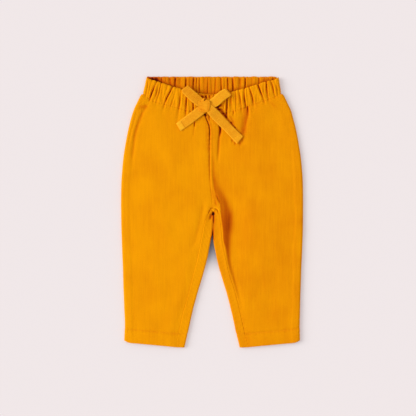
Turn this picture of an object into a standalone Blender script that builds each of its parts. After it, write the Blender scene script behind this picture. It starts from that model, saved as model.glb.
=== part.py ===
"""Baby's pull-on corduroy trousers, laid flat: each cut piece as a cloth wall.

X runs to the right of the picture, Y towards the waist and Z up from the table.
The origin is the middle of the laid-out garment, on the table. Sizes are in
millimetres and become metres when a mesh is made. Left and right are the
picture's. A wall is a grid of points on its outer face, set off inwards by the
cloth's thickness; creases move both faces together, so a wall keeps its thickness.
"""
import math

import bmesh
import bpy
import numpy as np

MM = 0.001

# Overall sizes.
TOP_Y = 200.0            # back waist edge, 400 mm above the lowest point of the hems
HEM_Y = -200.0
WAIST_SEAM_Y = 174.0     # where the waist seam meets the side edge
CASING_FOOT_Y = 172.2    # lower edge of the back casing
CROTCH_Y = 3.0
WRAP_START_Y, WRAP_FULL_Y = 1.0, -9.0    # where the back cloth begins to turn up, and has
CENTRE_X = 0.6           # centre-back seam, and the middle of the slit between the legs

# Cloth.
CLOTH = 1.3              # one layer of needlecord
HEM_CLOTH = 1.9          # the turned-up hem
HEM_DEPTH = 19.5
CASING_CLOTH = 1.8       # waist casing, doubled over its elastic
SEAM_GAP = 0.3           # clear space between pieces that are sewn together
HALF_GAP = SEAM_GAP / 2

# Heights above the table.
LEG_TOP = 5.0            # outer face of the front cloth along the inseam
LOFT = 0.7               # how much higher the middle of a panel lies
WAIST_RISE = 0.9         # how much the front rises to its waist seam
WRAP_RADIUS = 2.4        # the inner leg edge, where the back cloth turns over
CROTCH_EASE = 0.7        # wider gap at the crotch, where four seams meet in a small hole
SIDE_RADIUS = 3.2        # reach of the roll at the side seams
SIDE_STAND = 0.5         # straight foot of that roll, so that it stands square on the back
CASING_TOP = 6.5
CASING_DROOP = 0.3       # how much lower the casing lies along its two edges
BACK_CASING_TOP = 2.6
BACK_CASING_SHOWN = 4.2  # the same where no front casing lies on it
DEEPEST_GATHER = 1.4
SMOCK_DEPTH = 1.5        # deepest gather of the back casing

# Height up the garment, and the side edges there.
SIDE_EDGES = (
    # y, left x, right x
    (HEM_Y, -129.4, 129.0),
    (-166.0, -128.4, 129.0),
    (-95.0, -130.8, 130.2),
    (-38.0, -132.3, 132.8),
    (20.0, -134.1, 134.1),
    (45.0, -133.7, 133.8),
    (70.0, -131.7, 131.3),
    (96.0, -128.8, 129.2),
    (124.0, -124.0, 124.0),
    (143.0, -118.4, 118.8),
    (156.0, -112.9, 112.9),
    (166.0, -108.0, 108.0),
    (174.5, -103.6, 103.4),
)

# Height up the leg, and its inner edges there.
INNER_EDGES = (
    # y, left x, right x
    (HEM_Y, -41.3, 41.4),
    (-183.0, -37.4, 38.0),
    (-149.0, -30.1, 30.4),
    (-113.0, -20.7, 21.2),
    (-79.5, -11.2, 11.8),
    (-53.0, -3.9, 4.9),
    (-36.0, CENTRE_X - 0.3, CENTRE_X + 0.5),
    (-20.0, CENTRE_X - 0.2, CENTRE_X + 0.2),
    (CROTCH_Y, CENTRE_X - HALF_GAP, CENTRE_X + HALF_GAP),
)

# Height up the leg, and the inseams that show on the front.
INSEAMS = (
    # y, left x, right x
    (HEM_Y, -52.4, 52.2),
    (-181.0, -48.6, 48.4),
    (-149.0, -41.2, 41.0),
    (-113.0, -31.4, 31.8),
    (-79.0, -21.4, 22.4),
    (-45.0, -12.0, 13.8),
    (-20.0, -7.4, 8.8),
    (-4.0, -3.4, 4.8),
    (CROTCH_Y, 0.4, 0.8),
)

# Centre-front seam, from the waist to the crotch.
CENTRE_FRONT = (
    # y, x
    (CROTCH_Y, 0.6),
    (20.0, 0.0),
    (50.0, -2.4),
    (77.0, -3.9),
    (112.0, -3.8),
    (127.0, -4.4),
    (136.0, -7.0),
    (146.0, -10.0),
)

# Edge of the hem and the two edges of the front casing.
HEM_EDGE = (
    # distance from the middle, y
    (41.0, HEM_Y),
    (53.0, -199.5),
    (90.0, -196.0),
    (123.0, -192.4),
    (130.0, -190.2),
)
WAIST_SEAM = (
    # x, y
    (-102.0, 174.0),
    (-96.5, 170.0),
    (-91.0, 165.6),
    (-80.0, 161.2),
    (-70.0, 158.8),
    (-50.0, 153.4),
    (-28.0, 147.6),
    (-3.0, 144.4),
    (28.0, 148.2),
    (61.0, 159.0),
    (83.0, 166.4),
    (92.0, 170.0),
    (101.5, 174.4),
)
CASING_EDGE = (
    # x, y
    (-96.0, 199.2),
    (-92.0, 196.4),
    (-81.0, 193.2),
    (-64.5, 187.4),
    (-50.0, 183.2),
    (-28.0, 177.2),
    (-4.0, 174.0),
    (20.0, 176.0),
    (43.0, 181.4),
    (68.0, 188.8),
    (80.0, 192.8),
    (94.0, 196.4),
    (98.0, 198.8),
)
CASING_TOP_LEFT, CASING_TOP_RIGHT = -95.9, 98.0
CASING_FOOT_LEFT, CASING_FOOT_RIGHT = -102.0, 101.5

# Gathers of the front: creases that cross the casing and run on into the panels.
FRONT_GATHERS = (
    # x at the casing's top edge, x at the waist seam, width, depth, reach below the seam
    (-90.5, -95.6, 2.0, 0.9, 16.0),
    (-82.5, -90.6, 2.2, 1.4, 22.0),
    (-74.5, -80.6, 2.0, 0.9, 14.0),
    (-58.5, -70.4, 2.4, 1.5, 30.0),
    (-49.5, -58.0, 2.2, 0.7, 26.0),
    (-42.0, -48.5, 2.2, 1.0, 30.0),
    (-33.5, -38.4, 2.2, 1.3, 26.0),
    (-25.5, -30.0, 2.0, 1.0, 16.0),
    (-17.0, -20.5, 2.2, 0.8, 18.0),
    (3.5, 4.5, 2.2, 0.8, 20.0),
    (14.0, 15.5, 2.2, 0.9, 20.0),
    (20.5, 23.0, 2.0, 1.1, 12.0),
    (27.0, 31.0, 2.2, 1.2, 22.0),
    (36.0, 41.0, 2.2, 0.9, 20.0),
    (47.5, 52.0, 2.2, 1.1, 30.0),
    (55.0, 61.0, 2.2, 1.1, 26.0),
    (67.5, 76.4, 2.4, 1.5, 24.0),
    (78.5, 84.0, 2.2, 1.3, 18.0),
    (86.5, 93.0, 2.0, 1.0, 14.0),
)

# Gathers of the back casing, whose inside shows above the front.
BACK_GATHERS = (
    # x, width, depth as a share of SMOCK_DEPTH
    (-91.0, 2.2, 0.7),
    (-85.0, 2.4, 1.0),
    (-74.0, 2.2, 0.6),
    (-62.0, 2.2, 0.6),
    (-54.5, 2.4, 0.9),
    (-39.0, 2.6, 1.0),
    (-28.0, 2.2, 0.7),
    (-19.0, 2.4, 0.7),
    (-5.5, 2.4, 0.6),
    (12.0, 2.4, 0.7),
    (23.0, 2.4, 0.6),
    (30.5, 2.2, 0.8),
    (49.0, 2.6, 1.0),
    (60.0, 2.2, 0.5),
    (70.0, 2.6, 1.0),
    (83.0, 2.2, 0.6),
)

# Long soft folds of the front panels, each along a line from its top down.
CENTRE_PLEAT = ((128.0, 11.2), (118.0, 11.4), (100.0, 9.8), (82.0, 8.2), (54.0, 7.4))
CROTCH_TROUGH = (
    (46.0, 4.0), (15.0, 12.0), (-14.0, 22.0), (-44.0, 25.0), (-78.0, 29.0), (-122.0, 40.0),
)
LEFT_HIP_HOLLOW = ((158.0, -104.0), (140.0, -108.0), (120.0, -112.0), (84.0, -117.0))
RIGHT_HIP_HOLLOW = ((160.0, 92.0), (146.0, 90.0), (130.0, 92.0), (100.0, 98.0))
LONG_FOLDS = (
    # line of (y, x), width, depth
    (CENTRE_PLEAT, 3.0, 1.1),
    (CROTCH_TROUGH, 9.0, 1.2),
    (LEFT_HIP_HOLLOW, 5.0, 0.7),
    (RIGHT_HIP_HOLLOW, 6.0, 0.7),
)
SEAM_DIP_WIDTH, SEAM_DIP_DEPTH = 3.0, 0.7
RIDGE_INSET, RIDGE_WIDTH, RIDGE_HEIGHT = 13.0, 3.0, 0.35

# Grid lines: the rows of a panel, by their height at the side edge.
FRONT_ROWS = (
    HEM_Y, -181.2, -179.9, -156.0, -126.0, -96.0, -68.0, -44.0, -24.0, -11.0, -4.0, CROTCH_Y,
    14.0, 32.0, 55.0, 80.0, 104.0, 123.0, 138.0, 149.0, 158.0, 166.0, WAIST_SEAM_Y,
)
BACK_ROWS = (
    HEM_Y, -181.2, -179.9, -140.0, -100.0, -66.0, -40.0, -22.0, -12.0, -9.0, -7.0, -5.5,
    -4.0, -2.5, -1.0, 1.0, CROTCH_Y, 20.0, 50.0, 84.0, 118.0, 143.0, 160.0,
    CASING_FOOT_Y - SEAM_GAP,
)
FRONT_COLUMNS = 34
BACK_COLUMNS = 9
ROLL_STEPS = 5
CASING_COLUMNS = 80
CASING_ROWS = 5

# Drawstring: a flat tape in a bow.
TAPE = 1.2
TAPE_FOOT = 6.9          # underside of the tape where it lies on the front casing
LOOP_GAP = 0.8           # space inside a flattened loop
KNOT_CENTRE = (-11.4, 156.8)
KNOT_HALF = (7.2, 8.8)
KNOT_SECTIONS = ((0.72, 6.8), (0.92, 7.7), (1.0, 9.6), (0.9, 11.6), (0.62, 12.7))
KNOT_SQUARENESS = 2.3
KNOT_SIDES = 24

# Colours and finish.
CORD_COLOUR = (0.86, 0.33, 0.008, 1.0)
TAPE_COLOUR = (0.90, 0.39, 0.016, 1.0)
CLOTH_ROUGHNESS = 0.95


def curve(points):
    """Smooth line through (place, value) pairs, level with its ends beyond them."""
    place, value = np.array(sorted(points), float).T
    slope = np.gradient(value, place)

    def at(where):
        where = np.clip(where, place[0], place[-1])
        i = np.clip(np.searchsorted(place, where) - 1, 0, len(place) - 2)
        step = place[i + 1] - place[i]
        t = (where - place[i]) / step
        start = value[i] * (1 + 2 * t) + step * slope[i] * t
        end = value[i + 1] * (3 - 2 * t) - step * slope[i + 1] * (1 - t)
        return start * (1 - t) ** 2 + end * t ** 2

    return at


def column(table, index):
    """One value column of a table, as a curve over its first column."""
    return curve([(row[0], row[index]) for row in table])


SIDE = {-1: column(SIDE_EDGES, 1), 1: column(SIDE_EDGES, 2)}
INNER = {-1: column(INNER_EDGES, 1), 1: column(INNER_EDGES, 2)}
INSEAM = {-1: column(INSEAMS, 1), 1: column(INSEAMS, 2)}
CENTRE = curve(CENTRE_FRONT)
HEM = curve(HEM_EDGE)
SEAM = curve(WAIST_SEAM)
EDGE = curve(CASING_EDGE)


def rise(value, low, high):
    """0 below low, 1 above high, smooth between."""
    t = np.clip((value - low) / (high - low), 0, 1)
    return t * t * (3 - 2 * t)


def pulse(distance, width):
    return np.exp(-(distance / width) ** 2)


def make_material(name, colour, roughness):
    material = bpy.data.materials.new(name)
    material.use_nodes = True
    shader = material.node_tree.nodes["Principled BSDF"]
    shader.inputs["Base Color"].default_value = colour
    shader.inputs["Roughness"].default_value = roughness
    shader.inputs["Metallic"].default_value = 0.0
    return material


def add_object(name, vertices, faces, material):
    """A closed body from points in millimetres, its faces turned outwards."""
    mesh = bpy.data.meshes.new(name)
    mesh.from_pydata([tuple(point * MM) for point in vertices], [], faces)
    body = bmesh.new()
    body.from_mesh(mesh)
    bmesh.ops.triangulate(body, faces=body.faces)
    bmesh.ops.recalc_face_normals(body, faces=body.faces)
    body.to_mesh(mesh)
    body.free()
    mesh.materials.append(material)
    part = bpy.data.objects.new(name, mesh)
    bpy.context.scene.collection.objects.link(part)
    return part


def normals(grid):
    """Unit normals of a grid of points, to the left of its rows' direction."""
    across = np.gradient(grid, axis=1)
    along = np.gradient(grid, axis=0)
    facing = np.cross(across, along)
    return facing / np.linalg.norm(facing, axis=2, keepdims=True)


def cloth_wall(name, outer, thickness, material, facing=1, relief=0.0):
    """Solid cloth between an outer grid of points and its copy set off inwards."""
    out = normals(outer) * facing
    shape = outer.shape[:2]
    relief = np.broadcast_to(relief, shape)[..., None]
    thickness = np.broadcast_to(thickness, shape)[..., None]
    face = outer + out * relief
    vertices = np.concatenate([face.reshape(-1, 3), (face - out * thickness).reshape(-1, 3)])
    rows, columns = shape
    back = rows * columns
    faces = []
    for r in range(rows - 1):
        for c in range(columns - 1):
            a = r * columns + c
            quad = (a, a + 1, a + columns + 1, a + columns)
            faces.append(quad)
            faces.append(tuple(back + i for i in reversed(quad)))
    rim = list(range(columns))
    rim += [r * columns + columns - 1 for r in range(1, rows)]
    rim += [back - 1 - c for c in range(1, columns)]
    rim += [r * columns for r in range(rows - 2, 0, -1)]
    for a, b in zip(rim, rim[1:] + rim[:1]):
        faces.append((b, a, back + a, back + b))
    return add_object(name, vertices, faces, material)


def fitted_height(rows, x):
    """Turn a row's height at the side edge into its height at x."""
    to_seam = (SEAM(x) - SEAM_GAP - WAIST_SEAM_Y) * rise(rows, 40, WAIST_SEAM_Y)
    to_hem = (HEM(np.abs(x)) - HEM_Y) * rise(-rows, 120, -HEM_Y)
    return rows + to_seam + to_hem


def gather_relief(x, y, below):
    """Depth of the front's gathers; below is the distance under the waist seam."""
    up = np.clip(-below / (EDGE(x) - SEAM(x)), 0, 1)
    depth = np.zeros_like(x)
    for top_x, foot_x, width, deep, reach in FRONT_GATHERS:
        lean = (foot_x - top_x) / 26.0
        line = foot_x + (top_x - foot_x) * up + 0.5 * lean * np.clip(below, 0, None)
        spread = width * (1 + np.clip(below, 0, None) / reach)
        fade = np.clip(1 - below / reach, 0, 1) ** 1.5 * (below >= 0) + (below < 0)
        depth += deep * fade * pulse(x - line, spread)
    return -np.minimum(depth, DEEPEST_GATHER)


def fold_relief(x, y):
    """Depth of the long soft folds."""
    depth = np.zeros_like(x)
    for line, width, deep in LONG_FOLDS:
        heights = [point[0] for point in line]
        low, high = min(heights), max(heights)
        ends = rise(y, low - 20, low + 15) * (1 - rise(y, high - 12, high + 12))
        depth += deep * ends * pulse(x - curve(line)(y), width)
    return -depth


def hem_thickness(rows):
    """Cloth thickness of each row: more where the hem is turned up inside."""
    return CLOTH + (HEM_CLOTH - CLOTH) * (rows < HEM_Y + HEM_DEPTH)


def roll_steps():
    """Angles round a side roll; the last comes twice, for its straight foot."""
    angles = np.linspace(0, math.pi / 2, ROLL_STEPS)[1:]
    return np.append(angles, angles[-1])


def rolled_height(top, foot, turn):
    """Height round a side roll, down to its straight foot."""
    stand = foot + SIDE_STAND
    return stand + (top - stand) * np.cos(turn)


def front_panel(name, side, material):
    """Front panel from its centre seam or inseam out to the side seam."""
    inner_steps = np.linspace(0, 1, FRONT_COLUMNS)
    roll = roll_steps()
    across = np.concatenate([inner_steps, np.ones(len(roll))])
    turn = np.concatenate([np.zeros(FRONT_COLUMNS), roll])
    rows, across = np.meshgrid(FRONT_ROWS, across, indexing="ij")
    turn = np.broadcast_to(turn, rows.shape)
    y = rows.copy()
    for _ in range(4):
        inner = np.where(y > CROTCH_Y, CENTRE(y), INSEAM[side](y)) + side * HALF_GAP
        outer = SIDE[side](y)
        flat = outer - inner - side * SIDE_RADIUS
        x = inner + across * flat + side * SIDE_RADIUS * np.sin(turn)
        y = fitted_height(rows, x)
    below = SEAM(x) - y
    crown = LOFT * np.sin(math.pi * across) ** 0.8 * (turn == 0)
    top = LEG_TOP + crown + WAIST_RISE * (1 - rise(below, 0, 40))
    thickness = hem_thickness(rows)
    foot = thickness + SEAM_GAP
    thickness = np.where(turn > 0, CLOTH, thickness)
    z = rolled_height(top, foot, turn)
    z[:, -1] -= SIDE_STAND
    flatness = np.cos(turn)
    dip = SEAM_DIP_DEPTH * pulse(np.abs(x - inner), SEAM_DIP_WIDTH) * (y > CROTCH_Y)
    ridge = RIDGE_HEIGHT * pulse(np.abs(outer - x) - RIDGE_INSET, RIDGE_WIDTH)
    ridge *= 1 - rise(y, 100, 150)
    relief = gather_relief(x, y, below) + fold_relief(x, y) - dip + ridge
    grid = np.stack([x, y, z], axis=2)
    return cloth_wall(name, grid, thickness, material, side, relief * flatness)


def back_panel(name, side, material):
    """Back panel, flat on the table, turned up round the inner edge to the inseam."""
    flat_steps = np.linspace(0, 1, BACK_COLUMNS)
    bend_steps = np.linspace(0, 1, ROLL_STEPS + 1)[1:]
    lap_steps = np.linspace(0, 1, 3)[1:]
    rows = np.array(BACK_ROWS)
    grid = []
    for row in rows:
        fold = math.pi * float(1 - rise(row, WRAP_FULL_Y, WRAP_START_Y))
        edge = INNER[side](row)
        length = math.pi * WRAP_RADIUS
        radius = length / fold if fold > 0.01 else None
        reach = radius * math.sin(min(fold, math.pi / 2)) if radius else length
        ease = HALF_GAP + CROTCH_EASE * rise(row, -30.0, -12.0)
        lap = max(abs(INSEAM[side](row) - edge) - WRAP_RADIUS - ease, 0.6)
        if fold < math.pi / 2:
            reach += lap * math.cos(fold)
        start = edge + side * reach
        outer = SIDE[side](row) - side * HALF_GAP
        line = [(outer + (start - outer) * s, 0.0) for s in flat_steps]
        for s in bend_steps:
            if radius:
                line.append((start - side * radius * math.sin(fold * s),
                             radius * (1 - math.cos(fold * s))))
            else:
                line.append((start - side * length * s, 0.0))
        bend_x, bend_z = line[-1]
        for s in lap_steps:
            line.append((bend_x - side * lap * s * math.cos(fold),
                         bend_z + lap * s * math.sin(fold) + 0.2 * s * (fold > 3)))
        grid.append([(x, row, z) for x, z in line])
    grid = np.array(grid)
    x, y = grid[..., 0], grid[..., 1]
    to_hem = (HEM(np.abs(x)) - HEM_Y) * rise(-y, 120, -HEM_Y)
    grid[..., 1] = y + to_hem
    thickness = np.repeat(hem_thickness(rows)[:, None], grid.shape[1], axis=1)
    return cloth_wall(name, grid, thickness, material, side)


def front_casing(name, material):
    """Front half of the gathered waist casing, rolled down at its two ends."""
    roll = roll_steps()
    turn = np.concatenate([-roll[::-1], np.zeros(CASING_COLUMNS), roll])
    steps = np.concatenate([np.zeros(len(roll)), np.linspace(0, 1, CASING_COLUMNS),
                            np.ones(len(roll))])
    up, steps = np.meshgrid(np.linspace(0, 1, CASING_ROWS), steps, indexing="ij")
    turn = np.broadcast_to(turn, up.shape)
    left = CASING_FOOT_LEFT + (CASING_TOP_LEFT - CASING_FOOT_LEFT) * up
    right = CASING_FOOT_RIGHT + (CASING_TOP_RIGHT - CASING_FOOT_RIGHT) * up
    width = right - left - 2 * SIDE_RADIUS
    x = left + SIDE_RADIUS + steps * width + SIDE_RADIUS * np.sin(turn)
    y = SEAM(x) + (EDGE(x) - SEAM(x)) * up
    top = CASING_TOP - CASING_DROOP * (2 * up - 1) ** 2
    z = rolled_height(top, BACK_CASING_TOP + SEAM_GAP, turn)
    z[:, [0, -1]] -= SIDE_STAND
    relief = gather_relief(x, y, SEAM(x) - y) * np.cos(turn)
    grid = np.stack([x, y, z], axis=2)
    return cloth_wall(name, grid, CASING_CLOTH, material, 1, relief)


def back_casing(name, material):
    """Back half of the waist casing: flat on the table, gathered on top."""
    up, steps = np.meshgrid(np.linspace(0, 1, CASING_ROWS - 1),
                            np.linspace(0, 1, CASING_COLUMNS), indexing="ij")
    left = CASING_FOOT_LEFT + (CASING_TOP_LEFT - CASING_FOOT_LEFT) * up + HALF_GAP
    right = CASING_FOOT_RIGHT + (CASING_TOP_RIGHT - CASING_FOOT_RIGHT) * up - HALF_GAP
    x = left + steps * (right - left)
    corner = 3.0 * (np.maximum(np.abs(steps - 0.5) - 0.48, 0) / 0.02) ** 2
    y = CASING_FOOT_Y + (TOP_Y - corner - CASING_FOOT_Y) * up
    shown = rise(y - EDGE(x), 7.0, 12.0)
    top = BACK_CASING_TOP + (BACK_CASING_SHOWN - BACK_CASING_TOP) * shown
    gathers = np.zeros_like(x)
    for place, width, share in BACK_GATHERS:
        gathers += share * pulse(x - place, width)
    top -= np.minimum(gathers, 1) * SMOCK_DEPTH * (0.6 + 0.6 * shown)
    grid = np.stack([x, y, np.zeros_like(x)], axis=2)
    return cloth_wall(name, grid, top, material, -1)


def quad_strip(start, end, steps, sides):
    """Plan points of a strip between two edges, each a pair of corners."""
    start, end = np.array(start, float), np.array(end, float)
    along = np.asarray(steps)[:, None, None]
    edge = start + (end - start) * along
    return edge[:, :1] + (edge[:, 1:] - edge[:, :1]) * np.asarray(sides)[None, :, None]


def tape_tail(name, start, end, foot_start, foot_end, material):
    """One free end of the drawstring, its last 8 mm folded and stitched."""
    steps = np.array([0.0, 0.2, 0.4, 0.6, 0.8, 0.86, 1.0])
    plan = quad_strip(start, end, steps, np.linspace(0, 1, 4))
    foot = foot_start + (foot_end - foot_start) * rise(steps, 0.0, 0.75)
    thick = TAPE + 0.7 * (steps > 0.84)
    top = (foot + thick)[:, None] * np.ones(4)
    grid = np.concatenate([plan, top[..., None]], axis=2)
    facing = np.sign(normals(grid)[0, 0, 2])
    return cloth_wall(name, grid, np.repeat(thick[:, None], 4, axis=1), material, facing)


def tape_loop(name, start, end, puff, material):
    """One loop of the bow: out along the cloth, over at its end and back on top."""
    height = 2 * TAPE + LOOP_GAP
    run = np.linspace(0.0, 1.0, 6)
    length = np.linalg.norm(np.mean(end, axis=0) - np.mean(start, axis=0))
    turn = np.linspace(-math.pi / 2, math.pi / 2, ROLL_STEPS + 2)[1:-1]
    reach = 1 - height / 2 / length
    steps = np.concatenate([run * reach, reach + np.cos(turn) * (1 - reach), run[::-1] * reach])
    lift = puff * np.sin(math.pi * run) ** 2
    heights = np.concatenate([np.zeros(6), height / 2 * (1 + np.sin(turn)),
                              height + lift[::-1]])
    plan = quad_strip(start, end, steps, np.linspace(0, 1, 4))
    z = (TAPE_FOOT + heights)[:, None] * np.ones(4)
    grid = np.concatenate([plan, z[..., None]], axis=2)
    facing = -np.sign(normals(grid)[0, 0, 2])
    return cloth_wall(name, grid, TAPE, material, facing)


def tape_knot(name, material):
    """The wrap in the middle of the bow, as a closed soft pillow."""
    angles = np.linspace(0, 2 * math.pi, KNOT_SIDES, endpoint=False)
    power = 2 / KNOT_SQUARENESS
    plan = np.stack([np.sign(np.cos(angles)) * np.abs(np.cos(angles)) ** power * KNOT_HALF[0],
                     np.sign(np.sin(angles)) * np.abs(np.sin(angles)) ** power * KNOT_HALF[1]])
    vertices = []
    for share, height in KNOT_SECTIONS:
        for x, y in (plan * share).T:
            vertices.append(np.array([KNOT_CENTRE[0] + x, KNOT_CENTRE[1] + y, height]))
    faces = []
    for ring in range(len(KNOT_SECTIONS) - 1):
        low = ring * KNOT_SIDES
        for i in range(KNOT_SIDES):
            j = (i + 1) % KNOT_SIDES
            faces.append((low + i, low + j, low + KNOT_SIDES + j, low + KNOT_SIDES + i))
    top = (len(KNOT_SECTIONS) - 1) * KNOT_SIDES
    faces.append(tuple(reversed(range(KNOT_SIDES))))
    faces.append(tuple(range(top, top + KNOT_SIDES)))
    return add_object(name, np.array(vertices), faces, material)


def drawstring():
    """The bow at the centre front: a knot, two loops and two free ends."""
    tape = make_material("tape", TAPE_COLOUR, CLOTH_ROUGHNESS)
    tape_knot("drawstring_knot", tape)
    tape_loop("drawstring_loop_left", ((-15.9, 168.6), (-20.4, 156.2)),
              ((-36.0, 186.7), (-44.3, 179.2)), 0.8, tape)
    tape_loop("drawstring_loop_right", ((-2.8, 165.6), (4.6, 156.0)),
              ((21.5, 182.6), (28.8, 173.0)), 0.8, tape)
    tape_tail("drawstring_tail_left", ((-20.3, 155.2), (-14.0, 146.2)),
              ((-53.2, 130.4), (-45.7, 119.6)), TAPE_FOOT, 6.6, tape)
    tape_tail("drawstring_tail_right", ((3.2, 155.6), (-6.2, 146.6)),
              ((46.0, 111.2), (37.0, 100.4)), TAPE_FOOT, 6.4, tape)


def clear_scene():
    for item in list(bpy.data.objects):
        bpy.data.objects.remove(item, do_unlink=True)


def main():
    clear_scene()
    for side, label in ((-1, "left"), (1, "right")):
        cord = make_material("cord_" + label, CORD_COLOUR, CLOTH_ROUGHNESS)
        front_panel("front_" + label, side, cord)
        back_panel("back_" + label, side, cord)
    casing = make_material("casing", CORD_COLOUR, CLOTH_ROUGHNESS)
    front_casing("waistband_front", casing)
    back_casing("waistband_back", casing)
    drawstring()


main()
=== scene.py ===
"""Baby's corduroy trousers laid flat: cloth shells with wales, gathers and folds, a
tape bow, stitches, light and camera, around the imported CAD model.

Lengths are in millimetres until a mesh is made. X is to the picture's right, Y
towards the waist, Z up from the floor; left and right are the picture's.
"""
import math

import bmesh
import bpy
import numpy as np
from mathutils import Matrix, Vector
from mathutils.bvhtree import BVHTree


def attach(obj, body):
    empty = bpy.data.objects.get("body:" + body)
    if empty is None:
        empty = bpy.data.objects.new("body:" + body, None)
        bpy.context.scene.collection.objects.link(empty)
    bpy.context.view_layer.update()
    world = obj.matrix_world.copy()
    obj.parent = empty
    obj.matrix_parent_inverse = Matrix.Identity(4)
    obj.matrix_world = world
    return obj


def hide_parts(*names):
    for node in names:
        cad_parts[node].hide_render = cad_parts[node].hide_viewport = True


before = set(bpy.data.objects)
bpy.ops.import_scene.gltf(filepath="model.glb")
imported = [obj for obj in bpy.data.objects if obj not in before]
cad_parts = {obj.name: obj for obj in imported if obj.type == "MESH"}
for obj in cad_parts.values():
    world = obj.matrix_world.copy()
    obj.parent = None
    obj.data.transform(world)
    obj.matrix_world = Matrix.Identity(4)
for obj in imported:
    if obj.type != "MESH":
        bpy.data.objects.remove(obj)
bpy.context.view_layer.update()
MM = 0.001
TURN = 2 * math.pi


def curve(points):
    """Smooth line through (place, value) pairs, level with its ends beyond them."""
    place, value = np.array(sorted(points), float).T
    slope = np.gradient(value, place)

    def at(where):
        where = np.clip(where, place[0], place[-1])
        i = np.clip(np.searchsorted(place, where) - 1, 0, len(place) - 2)
        step = place[i + 1] - place[i]
        t = (where - place[i]) / step
        start = value[i] * (1 + 2 * t) + step * slope[i] * t
        end = value[i + 1] * (3 - 2 * t) - step * slope[i + 1] * (1 - t)
        return start * (1 - t) ** 2 + end * t ** 2

    return at


def column(table, index):
    return curve([(row[0], row[index]) for row in table])


def by_side(table):
    """Curves for the sides, -1 for the left and 1 for the right."""
    return {-1: column(table, 1), 1: column(table, 2)}


# ---------------- outline and heights

TOP_Y, HEM_Y = 200, -200
CROTCH_Y = 6
CASING_FOOT_Y = 172.2
HEM_DEPTH = 19.8
SHELL = 0.8  # thickness of the shown cloth
SEAM_HALF = 0.02  # half of the line between two pieces sewn together
WALE = 1.45  # pitch of the cord ribs
WALE_DEPTH = 0.3
STEPS = 4  # grid columns to one rib
SIDE_RIBS, WRAP_RIBS = 4, 6  # round a turned-down side, and round the inner leg edge
BACK_RIBS = 92  # across a back panel
CASING_RIBS = (180, 190)  # across the front and the back casing
RIB_SHAPE = (0, 0.78, 1, 0.78)
LEG_TOP = 5.1  # outer face of the front cloth above the floor
LOFT = 1
WAIST_RISE = 1.1
WRAP_RADIUS = 2.5  # where the backs turn round the inner leg edges
SHUT_RADIUS = 0.55  # the same above the crotch
SIDE_RADIUS = 3.2
CASING_TOP = 7.3
SEAM_TOP = 6.3  # height of the waist seam
SEAM_FOOT = 3.2  # and of its ends, where it turns down at the sides
SIDE_HALF_WIDTH = 134.1
DEEPEST_DIP = -2.9  # of the front cloth's relief
SIDE = by_side((
    # y, left x, right x
    (HEM_Y, -129.9, 129.8), (-166, -128.6, 129.4), (-130, -130, 130.3), (-86, -131.4, 131.7),
    (-42, -133.2, 133.6), (20, -134.2, 134.4), (45, -133.6, 134), (61, -132.5, 132.9),
    (83, -130.5, 130.8), (98, -128.1, 128.5), (113, -125.4, 125.9), (126, -122.6, 123.2),
    (138, -119.6, 120), (150, -115.9, 116.7), (157, -113, 113.4), (164.5, -109.3, 109.8),
    (170.5, -106.4, 106.9), (175, -103.9, 104.3),
))
INNER = by_side((
    # y, left x, right x
    (HEM_Y, -40.6, 40.7), (-192, -38.8, 38.9), (-175, -34.8, 34.6), (-160, -31.5, 31.5),
    (-145, -28.2, 28), (-130, -24.2, 24.3), (-116, -20.2, 20.5), (-104, -16.5, 16.7),
    (-86, -11.3, 11.3), (-71.5, -7.5, 7.5), (-57, -4.5, 4.6), (-45, -2.3, 2.4), (-40, -1.1, 1.6),
    (-36, 0, 1), (-33, 0.7, 0.8), (-28, 1.1, 0.95), (-20, 1.75, 1.55), (-12, 2.15, 1.95),
    (-5, 2.15, 1.95), (0, 1.85, 1.65), (CROTCH_Y, 0.9, 0.8),
))
INSEAM = by_side((
    # y, left x, right x
    (HEM_Y, -51, 53.2), (-181, -49, 47.6), (-171, -46.2, 45.4), (-149, -41.4, 40.4),
    (-125, -34.8, 34.6), (-106, -29.8, 29.2), (-99, -28, 26.6), (-84, -24, 22.5), (-67, -19.8, 18.8),
    (-53, -17, 15.6), (-35, -13.6, 13), (-20, -10.8, 11.6), (-9, -7.4, 10.4), (-1, -4.4, 9.3),
    (3, -2.6, 7), (5.2, -1.2, 3.6), (CROTCH_Y, 0.4, 1.3),
))
CENTRE = curve((
    # y, x of the centre-front seam
    (CROTCH_Y, 0.8), (20, -0.6), (34, -2.2), (48, -3.2), (66, -3.7), (77, -3.9), (112, -3.7),
    (119.5, -3.5), (126.3, -4.2), (132.3, -6.3), (137.6, -8.6), (144, -10.6), (148, -11.8),
))
CENTRE_PINCH = curve((
    # y, how strongly the centre seam pulls the cloth down
    (10, 0.1), (30, 0.25), (52, 0.38), (66, 0.75), (100, 1.15), (112, 1.7), (130, 1.9), (146, 1.4),
))
SLIT_PAINTED_SHADE = curve((
    # y, how dark the painted shade in the closed slit below the crotch is
    (-44, 0), (-40, 0.5), (-36, 0.85), (-29.5, 0.85), (-25, 0.45), (-18.5, 0.3), (-14, 0.66),
    (-5, 0.72), (-2, 0.8), (2, 0),
))
HEM = curve((
    # distance from the middle, y
    (41, HEM_Y), (53, -199.6), (64, -198.5), (88, -196.2), (110, -194.2), (121.5, -193.1),
    (124, -192.5), (129, -190.1), (130, -189.8),
))
SEAM = curve((
    # x, y of the waist seam
    (-102, 174), (-96.5, 170), (-91, 165.6), (-80, 161.2), (-70, 158.8), (-50, 153.4), (-28, 147.6),
    (-3, 144.4), (28, 148.2), (61, 159), (83, 166.4), (92, 170), (101.5, 174.4),
))
EDGE = curve((
    # x, y of the front casing's top edge
    (-96, 199.2), (-92, 196.4), (-81, 193.2), (-64.5, 187.4), (-50, 183.2), (-28, 177.2), (-4, 174),
    (20, 176), (43, 181.4), (68, 188.8), (80, 192.8), (94, 196.4), (98, 198.8),
))
CASING_TOP_X = (-96.5, 98.3)
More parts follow.
